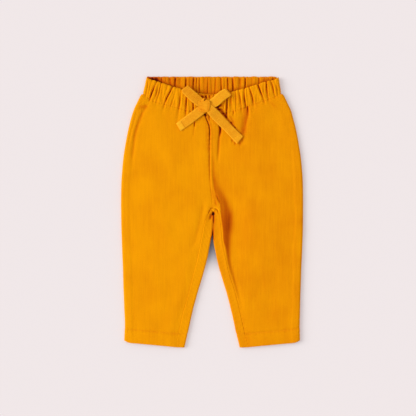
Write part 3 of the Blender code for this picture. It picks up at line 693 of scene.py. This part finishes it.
def back_casing(name, material):
    """Back half of the casing: its gathered inside shows above the front."""
    share = np.linspace(0, 1, CASING_RIBS[1] * STEPS + 1)
    up, left, right = casing_grid(BACK_CASING_ROWS, len(share))
    x = left + 0.4 + share * (right - left - 0.8)
    corner = 3.2 * np.maximum(np.abs(share - 0.49) - 0.48, 0) / 0.03
    y = CASING_FOOT_Y + (TOP_Y - corner ** 2 / 3.2 - CASING_FOOT_Y) * up
    above = y - EDGE(x)
    shown = rise(above, -2, 6)
    z = 2.6 + 1.7 * shown * np.sin(math.pi * np.clip(up, 0.25, 1)) ** 0.35
    z = z - 0.9 * rise(up, 0.93, 1)
    cut = np.zeros_like(x)
    for place, width, deep, lean in BACK_GATHERS:
        away = x - place - lean * (up - 0.6) * 2
        cut += deep * (0.8 + 0.2 * np.sin(place + 5 * up)) * np.exp(-np.abs(away / width) ** 1.7)
    cut = np.minimum(cut, 3) * (0.35 + 0.65 * shown) * (1 - 0.85 * rise(up, 0.86, 0.99))
    uneven = 0.34 * ripple(x, y, 11, 16, 6) + 0.16 * ripple(x, y, 5, 17, 7)
    relief = np.maximum(uneven * shown - cut, 0.95 - z)
    # Painted shade: in the gathers, over the whole inside and more towards its left, along the front
    # casing's edge, and in the left corner by that edge; the ripple is uneven colour.
    tone = 0.2 * np.clip(cut, 0, 3) + 0.17 + 0.19 * rise(-x, 20, 90) + 0.2 * pulse(above, 3.4)
    tone += 0.08 * ripple(x, 0, 16, 18)
    tone += 0.35 * rise(-x, 72, 84) * (1 - rise(-x, 89, 93)) * pulse(above, 5)
    return shell(name, np.stack([x, y, z], axis=2), relief, material, 1, np.minimum(tone, 0.84),
                 WALE_DEPTH * 0.8)


# ---------------- drawstring

TAPE_WIDTH = 12
TAPE_THICK = 1.1
RIB_PITCH = 1.15
END_FOLD = 7.6  # the tape's ends are folded back this far and stitched
TAPE_STEP = 0.3  # rings along the tape

TAIL_RIGHT = (
    # x, y, z of the middle of the tape, width
    (-27.5, 172.2, 6.2, 6), (-25.2, 170, 7.6, 8), (-21, 166.2, 8.2, 10), (-16, 162, 8.4, 10.5),
    (-10.6, 157.8, 9.4, 10.8), (-4.6, 153, 11, 12.2), (0.4, 148, 11.3, 13.8), (6.2, 141.8, 9.8, 14.8),
    (14, 133.6, 8.7, 13.9), (21.5, 126, 8, 13.3), (30, 117.3, 7.6, 13.7), (37, 110.2, 7.4, 14.3),
    (41.2, 106, 7.4, 14.5),
)
TAIL_LEFT = (
    # x, y, z of the middle of the tape, width
    (13.2, 168.2, 6.2, 6), (10.8, 166.6, 7.6, 8), (6.6, 163.8, 8.2, 10), (1.4, 160.8, 8.4, 10.4),
    (-4.6, 158, 8.4, 10.4), (-9.4, 154.6, 8.6, 11.4), (-13.9, 151.4, 8.8, 13.2),
    (-19.1, 147.6, 8.9, 14), (-26.6, 141.8, 8.5, 14), (-34.7, 135.7, 8, 14.1),
    (-41.9, 130.4, 7.6, 13.6), (-45.9, 127.5, 7.5, 13.2), (-49.5, 124.9, 7.5, 13.1),
)
LOOP_LEFT = (
    # x, y of the middle, width, height of the upper layer above the lower one
    (-9, 156.4, 11, 1.2), (-13.4, 159, 12.6, 1.3), (-18.7, 162.4, 14, 1.4), (-25.4, 168, 14.5, 1.8),
    (-32.3, 174.2, 14.3, 2.4), (-40, 181.2, 13.7, 2.6),
)
LOOP_RIGHT = (
    # x, y of the middle, width, height of the upper layer above the lower one
    (-3.4, 157.4, 11.6, 0.9), (-0.1, 159.5, 13.2, 1), (4.1, 161.9, 14.4, 1.2), (9.6, 166.6, 14.6, 1.9),
    (16, 172, 14.6, 2.6), (20.4, 174.9, 13.8, 2.8), (22.8, 176.2, 13, 2.8),
)
# How far each place across a loop's end stands out, from its right edge to its left one
# as seen going outwards.
LOOP_END_LEFT = ((-1, -1.2), (0.6, 0.9), (1, -3.2))
LOOP_END_RIGHT = ((-1, 1.6), (0.6, -0.6), (1, -1.8))
KNOT_CENTRE = (-11.4, 156.6)
KNOT_LUMPS = (
    # x, y, width, height
    (-11.9, 167.2, 1.5, 1), (-13.8, 165, 1.6, 0.5),
)
KNOT_CREASES = (
    # start x, start y, end x, end y, width, depth
    (-8.9, 168, -10.7, 164.6, 0.8, 1.9), (-17.1, 163.6, -16.7, 162.8, 0.7, 1.2),
    (-21.6, 155.6, -19, 155.4, 1, 0.5), (-5, 160, -5.6, 151, 0.9, 0.25),
    (-17, 151.4, -10, 149, 1.6, 0.25),
)


def along(points):
    """A smooth line through points, read at even steps of its length."""
    points = np.array(points, float)
    place = distances(points[:, :2])
    fine = np.linspace(0, place[-1], int(place[-1] / TAPE_STEP) + 1)
    return np.stack([curve(list(zip(place, value)))(fine) for value in points.T], axis=1), fine


def steady_sides(side):
    """Unit side directions that keep to one side through a fold."""
    size = np.linalg.norm(side, axis=1, keepdims=True)
    side = side / np.maximum(size, 1e-9)
    for i in range(1, len(side)):
        if size[i] < 1e-4:
            side[i] = side[i - 1]
        elif np.dot(side[i], side[i - 1]) < 0:
            side[i] = -side[i]
    return side


def ribbon(name, line, place, width, thickness, material, tone, ahead, ends):
    """A flat woven tape: rounded edges, fine cross ribs, swept along a line.

    Its outline is shifted ahead by what ends gives for each place across it."""
    # The side direction comes from the plan line, so that folds turn about it.
    flat = np.gradient(line[:, :2], axis=0)
    side = steady_sides(np.stack([-flat[:, 1], flat[:, 0], np.zeros(len(line))], axis=1))
    up = unit(np.cross(unit(np.gradient(line, axis=0)), side))
    across = np.linspace(-1, 1, 15)
    across = np.concatenate([across, across[::-1]])
    face = np.repeat([1, -1], 15)
    edge = np.sqrt(np.clip(1 - np.abs(across) ** 10, 0.02, 1))
    rib = 0.11 * np.cos(TURN * place / RIB_PITCH)[:, None]
    grain = 0.04 * np.cos(TURN * across * TAPE_WIDTH / 2 / 0.8)
    height = face * edge * (0.5 * thickness[:, None] + rib + grain)
    grid = line[:, None] + side[:, None] * (across * width[:, None] / 2)[..., None]
    grid += up[:, None] * height[..., None]
    shift = np.interp(across, *np.array(ends).T)
    grid[..., :2] += ahead[:, None] * shift[:, None]
    rows, columns = grid.shape[:2]
    faces = quads(rows, columns, closed=True)
    faces += [list(range(columns))[::-1], list(range((rows - 1) * columns, rows * columns))]
    # Painted shade between the cross ribs and painted light on their tops, and painted light along both
    # edges.
    painted_rim_light = 0.2 * pulse(np.abs(across) - 0.93, 0.14)
    shade = 0.31 - rib * 3.5 - painted_rim_light + tone[:, None]
    return mesh_object(name, grid.reshape(-1, 3), faces, material, shade.ravel())


def tail(name, table, material, folded, slant):
    """A free end: from its buttonhole under the knot to its folded, stitched end."""
    line, place = along(table)
    width = line[:, 3] + 0.12 * ripple(place, 0, 9, 51)
    points = line[:, :3].copy()
    points[:, 2] += 0.18 * ripple(place, 0, 22, 52) * rise(place, 25, 45)
    left = place[-1] - place
    thickness = TAPE_THICK + 0.45 * (1 - rise(left, END_FOLD - 0.6, END_FOLD + 0.6))
    thickness -= 0.2 * pulse(left - END_FOLD + 1.2, 0.5) + 0.5 * pulse(left, 0.7)
    # Painted shade along the fold's edge, and the folded end made lighter.
    tone = folded * (0.15 * pulse(left - END_FOLD - 0.4, 0.6) - 0.4 * (left < END_FOLD - 0.4))
    ahead = unit(line[-1, :2] - line[-8, :2]) * rise(-left, -14, -2)[:, None]
    made = ribbon(name, points, place, width, thickness, material, tone, ahead,
                  ((-1, -slant), (1, slant)))
    return made, points


def loop(name, table, material, foot, ends, tone):
    """A flattened loop: out on the cloth, over at its end and back to the knot."""
    line, place = along(table)
    tangent = unit(np.gradient(line[:, :2], axis=0))
    gap = line[:, 3]
    foot = foot - 0.6 * rise(place, 0.45 * place[-1], place[-1])
    arch = 0.3 * np.sin(math.pi * place / place[-1]) ** 2
    lower = np.column_stack([line[:, :2], foot])
    upper = np.column_stack([line[:, :2], foot + gap + arch])
    radius = gap[-1] / 2
    turn = np.linspace(-math.pi / 2, math.pi / 2, 14)[1:-1, None]
    over = np.hstack([line[-1, :2] + tangent[-1] * radius * np.cos(turn),
                      foot[-1] + radius + radius * np.sin(turn)])
    points = np.concatenate([lower, over, upper[::-1]])
    width = np.concatenate([line[:, 2], np.full(len(over), line[-1, 2]), line[::-1, 2]])
    place = distances(points)
    width += 0.12 * ripple(place, 0, 9, 53)
    ahead = tangent * rise(np.arange(len(line)), 0.45 * len(line), len(line) - 1)[:, None]
    ahead = np.concatenate([ahead, np.repeat(ahead[-1:], len(over), axis=0), ahead[::-1]])
    return ribbon(name, points, place, width, np.full(len(points), TAPE_THICK), material,
                  np.full(len(points), tone), ahead, ends)


def knot(name, material):
    """The flattened turn of tape that holds the bow: it runs into the left loop and tail,
    ends in a clear edge beside the right ones, and curls over in two lumps at its top."""
    t, u = np.meshgrid(np.linspace(-1, 1, 110), np.linspace(-1, 1, 60), indexing="ij")
    right_reach = 8.8 - 1.6 * (t - 0.35) ** 2 - 0.5 * t ** 4
    left_reach = 9.4 - 2.4 * t ** 2
    x = KNOT_CENTRE[0] + u * np.where(u > 0, right_reach, left_reach)
    curled = 2.2 * pulse(u + 0.06, 0.2) - np.clip(u, 0, 1)
    y = KNOT_CENTRE[1] + 9.5 * t * (1 - 0.07 * np.abs(u) ** 3) + curled * np.clip(t, 0, 1) ** 3
    y -= 0.5 * u * (t < 0)
    left_foot = 10.3 + 1.1 * rise(t, -0.2, 0.5)
    z = left_foot + (12.9 - left_foot) * np.sin(np.clip((u + 1) / 1.8, 0, 1) * math.pi / 2)
    z -= 1.9 * np.clip(t, 0, 1) ** 8 + 1.3 * np.clip(-t, 0, 1) ** 10
    z -= 0.6 * np.clip((u - 0.8) / 0.2, 0, 1) ** 3
    for lump_x, lump_y, wide, high in KNOT_LUMPS:
        z += high * pulse(np.hypot(x - lump_x, y - lump_y), wide)
    # Painted shade: the knot darker than the tails, a little more on its left slope, and in its
    # creases; painted light on its cross ribs' tops and shade between them.
    tone = 0.36 + 0.03 * pulse(u + 0.5, 0.5)
    for *ends, wide, deep in KNOT_CREASES:
        crease = deep * pulse(line_distance(x, y, *ends), wide)
        z -= crease
        tone += 0.45 * crease
    rib = np.cos(TURN * (t * 10 + 0.4 * u) / RIB_PITCH)
    tone = (tone - 0.22 * rib).ravel()
    top = np.stack([x, y, z + 0.08 * rib], axis=2)
    under = top - normals(top) * TAPE_THICK
    rows, columns = t.shape
    count = rows * columns
    faces = quads(rows, columns) + [quad[::-1] for quad in quads(rows, columns, count)]
    place = np.arange(count).reshape(rows, columns)
    rim = np.concatenate([place[0], place[1:, -1], place[-1, -2::-1], place[-2:0:-1, 0]]).tolist()
    for a, b in zip(rim, rim[1:] + rim[:1]):
        faces.append((b, a, count + a, count + b))
    points = np.concatenate([top.reshape(-1, 3), under.reshape(-1, 3)])
    return mesh_object(name, points, faces, material, np.concatenate([tone, tone]))


# ---------------- stitches

STITCH = (2.5, 0.42)  # length and thickness of one stitch
STITCH_STEP = 3.1
WAIST_STITCH_STEP = 2.7
STITCH_PROFILE = (
    # place along the stitch, thickness there, as shares
    (-0.5, 0.35), (-0.36, 0.85), (0, 1), (0.36, 0.85), (0.5, 0.35),
)
STITCH_SIDES = 6


def stitches(name, places, material):
    """Short rounded stitches at (x, y, z, direction)."""
    length, thick = STITCH
    points, faces = [], []
    for x, y, z, angle in places:
        start = len(points)
        c, s = math.cos(angle), math.sin(angle)
        for reach, fat in STITCH_PROFILE:
            for k in range(STITCH_SIDES):
                turn = TURN * k / STITCH_SIDES
                side = math.cos(turn) * thick / 2 * fat
                lift = math.sin(turn) * thick / 2 * fat - 0.18 * (2 * reach) ** 2
                points.append((x + reach * length * c - side * s,
                               y + reach * length * s + side * c, z + lift))
        faces += quads(len(STITCH_PROFILE), STITCH_SIDES, start, closed=True)
        faces.append(list(range(start, start + STITCH_SIDES))[::-1])
        faces.append(list(range(len(points) - STITCH_SIDES, len(points))))
    return mesh_object(name, points, faces, material)


def surface_height(pieces):
    """A function that gives the highest cloth point at a place."""
    trees = []
    for piece in pieces:
        corners = [v.co[:] for v in piece.data.vertices]
        trees.append(BVHTree.FromPolygons(corners, [tuple(p.vertices) for p in piece.data.polygons]))

    def at(x, y):
        hits = [tree.ray_cast((x * MM, y * MM, 0.05), (0, 0, -1))[0] for tree in trees]
        return max((hit.z / MM for hit in hits if hit is not None), default=None)

    return at


def slope_angle(line, x):
    return math.atan(float(line(x + 1) - line(x - 1)) / 2)


def hem_stitches(height):
    """The line of stitches round each hem, on the front and the wrapped edge."""
    places = []
    for side in (-1, 1):
        x = side * (abs(float(INNER[side](HEM_Y + HEM_DEPTH))) + 1.6)
        while abs(x) < 127.5:
            y = float(HEM(abs(x))) + HEM_DEPTH
            z = height(x, y)
            if z is not None:
                places.append((x, y, z + 0.12, side * slope_angle(HEM, abs(x))))
            x += side * STITCH_STEP
    return places


def waist_stitches(height):
    """The line of stitches that holds the casing, just above the waist seam."""
    places = []
    x = -99
    while x < 99:
        y = float(SEAM(x)) + 1.3
        z = height(x, y)
        angle = slope_angle(SEAM, x)
        if z is not None and not -24 < x < 8:
            places.append((x, y, z + 0.05, angle))
        x += WAIST_STITCH_STEP * math.cos(angle)
    return places


def tape_stitches(table, height):
    """A row of stitches across the tape where its end is folded back."""
    line, _ = along(table)
    middle = line[-1 - int(round((END_FOLD - 1.2) / TAPE_STEP))]
    ahead = unit(line[-1, :2] - middle[:2])
    side = np.array([-ahead[1], ahead[0]])
    places = []
    for share in (-0.38, -0.13, 0.13, 0.38):
        x, y = middle[:2] + side * share * middle[3]
        places.append((x, y, height(x, y) + 0.1, math.atan2(side[1], side[0])))
    return places


# ---------------- materials

# Ramp colours: the first is the cloth's own; the later ones, reached mostly through painted shade,
# darken down to near black in the deepest holes.
CORD_MIDDLE = (0.71, 0.222, 0.001, 1)
CORD_SHADE = (0.615, 0.105, 0.001, 1)
CORD_COLOURS = ((0.905, 0.36, 0.001, 1), CORD_MIDDLE, CORD_SHADE)
TAPE_COLOURS = ((0.95, 0.47, 0.02, 1), (0.79, 0.305, 0.007, 1), (0.69, 0.185, 0.002, 1))
THREAD_COLOURS = ((0.9, 0.35, 0.008, 1), CORD_MIDDLE, CORD_SHADE)
DARKEST_SHADE = (0.24, 0.012, 0.001, 1)
NEAR_BLACK_SHADE = (0.03, 0.003, 0.002, 1)
SHEEN = (1, 0.55, 0.03, 1)
FLOOR = (0.54, 0.5, 0.504, 1)
FLOOR_GLOW = 0.52  # the sweep's own evenness, which keeps the shadow on it pale
GAP = (-94, -48, 6)  # y of the painted shadow between the legs: its open end, its deep end and the crotch
# colour of the shadow painted on the floor between the legs
GAP_PAINTED_SHADOW = (0.2, 0.215, 0.265, 1)


def feed(socket, value):
    """Sets a socket to a value, or links it to the output that the value is."""
    if isinstance(value, bpy.types.NodeSocket):
        socket.id_data.links.new(value, socket)
    else:
        socket.default_value = value


def fill(made, **values):
    """Gives a node its settings and inputs by name."""
    for key, value in values.items():
        if hasattr(made, key):
            setattr(made, key, value)
        else:
            feed(made.inputs[key.replace("_", " ")], value)
    return made


def node(tree, kind, **values):
    return fill(tree.nodes.new(kind), **values)


def maths(tree, operation, *values):
    made = node(tree, "ShaderNodeMath", operation=operation)
    for socket, value in zip(made.inputs, values):
        feed(socket, value)
    return made.outputs[0]


def new_material(name):
    """A material, its node tree, its shader, and coordinates for its textures."""
    material = bpy.data.materials.new(name)
    material.use_nodes = True
    tree = material.node_tree
    place = node(tree, "ShaderNodeTexCoord").outputs["Object"]
    return material, tree, tree.nodes["Principled BSDF"], place


def cloth_material(name, colours, roughness, sheen, streak, patch, grain, nap):
    """Cloth coloured by its tone, which holds painted shade from its depth, with streaks along the
    grain and a fine nap.
    """
    material, tree, shader, place = new_material(name)
    stretch = node(tree, "ShaderNodeMapping", Vector=place, Scale=streak)
    total = node(tree, "ShaderNodeAttribute", attribute_name="tone").outputs["Fac"]
    for where, scale, detail, rough, share, offset in (
            (stretch.outputs["Vector"], 1, 3, 0.6, 0.24, -0.12),
            (place, patch[0], 2, 0.5, patch[1], -patch[1] / 2),
            (place, grain, 2, 0.7, 0.4, -0.18)):
        noise = node(tree, "ShaderNodeTexNoise", Vector=where, Scale=scale, Detail=detail,
                     Roughness=rough).outputs["Fac"]
        total = maths(tree, "ADD", total, maths(tree, "MULTIPLY_ADD", noise, share, offset))
    colour = node(tree, "ShaderNodeValToRGB", Fac=total)
    # The ramp turns the tone and its painted shade into colour; its darker stops are painted shade.
    ramp = colour.color_ramp.elements
    ramp[0].color = colours[0]
    ramp[1].color = NEAR_BLACK_SHADE
    for at, shade in ((0.35, colours[1]), (0.62, colours[2]), (0.86, DARKEST_SHADE)):
        ramp.new(at).color = shade
    # The last noise is the nap.
    relief = node(tree, "ShaderNodeBump", Strength=nap, Distance=0.0002, Height=noise)
    fill(shader, Base_Color=colour.outputs["Color"], Normal=relief.outputs["Normal"],
         Roughness=roughness, Specular_IOR_Level=0.02, Sheen_Weight=sheen, Sheen_Roughness=0.45,
         Sheen_Tint=SHEEN)
    return material


def ground_material():
    """Pale sweep with an even glow of its own. Deep between the legs, where little light
    comes in, a shadow is painted: both its colour and its glow are made weaker."""
    material, tree, shader, place = new_material("pale_ground")
    parts = node(tree, "ShaderNodeSeparateXYZ", Vector=place).outputs
    open_end, deep_end, crotch = (y * MM for y in GAP)
    aside = maths(tree, "ABSOLUTE", parts["X"])
    outside_painted_shadow = 0
    for source, low, high, at_low, at_high in (
            (parts["Y"], open_end, deep_end, 1, 0), (parts["Y"], crotch, crotch + 0.03, 0, 1),
            (aside, 0.018, 0.045, 0, 1)):
        part = node(tree, "ShaderNodeMapRange", interpolation_type="SMOOTHSTEP", Value=source,
                    From_Min=low, From_Max=high, To_Min=at_low, To_Max=at_high)
        outside_painted_shadow = maths(tree, "MAXIMUM", outside_painted_shadow, part.outputs["Result"])
    colour = node(tree, "ShaderNodeMix", data_type="RGBA", A=GAP_PAINTED_SHADOW, B=FLOOR, Factor=outside_painted_shadow)
    fill(shader, Base_Color=colour.outputs["Result"], Roughness=0.9, Specular_IOR_Level=0,
         Emission_Color=FLOOR, Emission_Strength=maths(tree, "MULTIPLY", outside_painted_shadow, FLOOR_GLOW))
    return material


# ---------------- camera

VIEW_CENTRE = (-5.9, 5.9)  # the photograph's centre on the garment
FIELD = 613.6  # what the photograph's width covers
CAMERA_UP = 3.2  # metres
camera_data = bpy.data.cameras.new("camera")
camera_data.sensor_width = 36
camera_data.lens = 36 * (CAMERA_UP - 0.005) / (FIELD * MM)
camera_data.clip_start = 0.05
camera = add_object("camera", camera_data)
camera.location = (VIEW_CENTRE[0] * MM, VIEW_CENTRE[1] * MM, CAMERA_UP)
bpy.context.scene.camera = camera
bpy.context.scene.view_settings.view_transform = "Standard"

# ---------------- the garment

CLOTHS = (
    # name, colours, roughness, sheen, streaks, scale and share of the patches, grain, nap
    ("needlecord", CORD_COLOURS, 0.85, 0.25, (620, 26, 60), (26, 0.3), 2600, 0.35),
    ("gathered_needlecord", CORD_COLOURS, 0.85, 0.25, (700, 40, 60), (26, 0.3), 2600, 0.35),
    ("woven_tape", TAPE_COLOURS, 0.7, 0.15, (420, 420, 60), (150, 0.16), 3200, 0.3),
    ("sewing_thread", THREAD_COLOURS, 0.6, 0.1, (900, 900, 900), (26, 0.1), 3200, 0.2),
)
cord, casing, tape, thread = (cloth_material(*row) for row in CLOTHS)


def dress(piece, node_name):
    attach(piece, "root")
    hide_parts(node_name)
    return piece


def panels(make, cut):
    """The left and right panels of a cut."""
    return [dress(make("cord_%s_%s" % (cut, where), side, cord), "%s_%s" % (cut, where)) for where, side in (("left", -1), ("right", 1))]


tail_right, right_path = tail("tape_tail_right", TAIL_RIGHT, tape, 0.2, -0.7)
tail_left, left_path = tail("tape_tail_left", TAIL_LEFT, tape, 1, 0.65)
dress(tail_right, "drawstring_tail_right")
dress(tail_left, "drawstring_tail_left")
# The last numbers shift each loop's painted shade: the left loop a little darker, the right one a
# little lighter.
loop_left = loop("tape_loop_left", LOOP_LEFT, tape, 9, LOOP_END_LEFT, 0.09)
loop_right = loop("tape_loop_right", LOOP_RIGHT, tape, 8.6, LOOP_END_RIGHT, -0.05)
dress(loop_left, "drawstring_loop_left")
dress(loop_right, "drawstring_loop_right")
tape_knot = dress(knot("tape_knot", tape), "drawstring_knot")

fronts = panels(front_panel, "front")
backs = panels(back_panel, "back")
band_front = dress(front_casing("cord_casing_front", casing), "waistband_front")
band_back = dress(back_casing("cord_casing_back", casing), "waistband_back")

cloth_height = surface_height([*fronts, *backs, band_front])
tape_height = surface_height([tail_left, tail_right])
hem_sewing = stitches("hem_stitches", hem_stitches(cloth_height), thread)
waist_sewing = stitches("waist_stitches", waist_stitches(cloth_height), thread)
tape_sewing = stitches("tape_stitches", tape_stitches(TAIL_LEFT, tape_height)
                       + tape_stitches(TAIL_RIGHT, tape_height), thread)
for piece, slot in ((hem_sewing, "cord_left"), (waist_sewing, "casing"), (tape_sewing, "tape")):
    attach(piece, "root")

# ---------------- floor and light

FLOOR_HALF = 3  # metres
FLOOR_TOP = -0.0001
SUN_FROM = (-0.85, 0.1, 0.52)  # towards the light, low on the picture's left

ground = bpy.data.meshes.new("ground")
corners = ((-1, -1), (1, -1), (1, 1), (-1, 1))
ground.from_pydata([(x * FLOOR_HALF, y * FLOOR_HALF, FLOOR_TOP) for x, y in corners], [],
                   [(0, 1, 2, 3)])
ground.materials.append(ground_material())
add_object("ground", ground)

sun_data = bpy.data.lights.new("key", "SUN")
sun_data.energy = 2.45
sun_data.angle = math.radians(38)
sun_data.color = (1, 0.985, 0.975)
sun = add_object("key", sun_data)
sun.rotation_euler = Vector(SUN_FROM).to_track_quat("Z", "Y").to_euler()

world = bpy.data.worlds.new("studio")
world.use_nodes = True
sky = world.node_tree.nodes["Background"].inputs
sky["Color"].default_value = (1, 0.985, 0.99, 1)
sky["Strength"].default_value = 0.7
bpy.context.scene.world = world
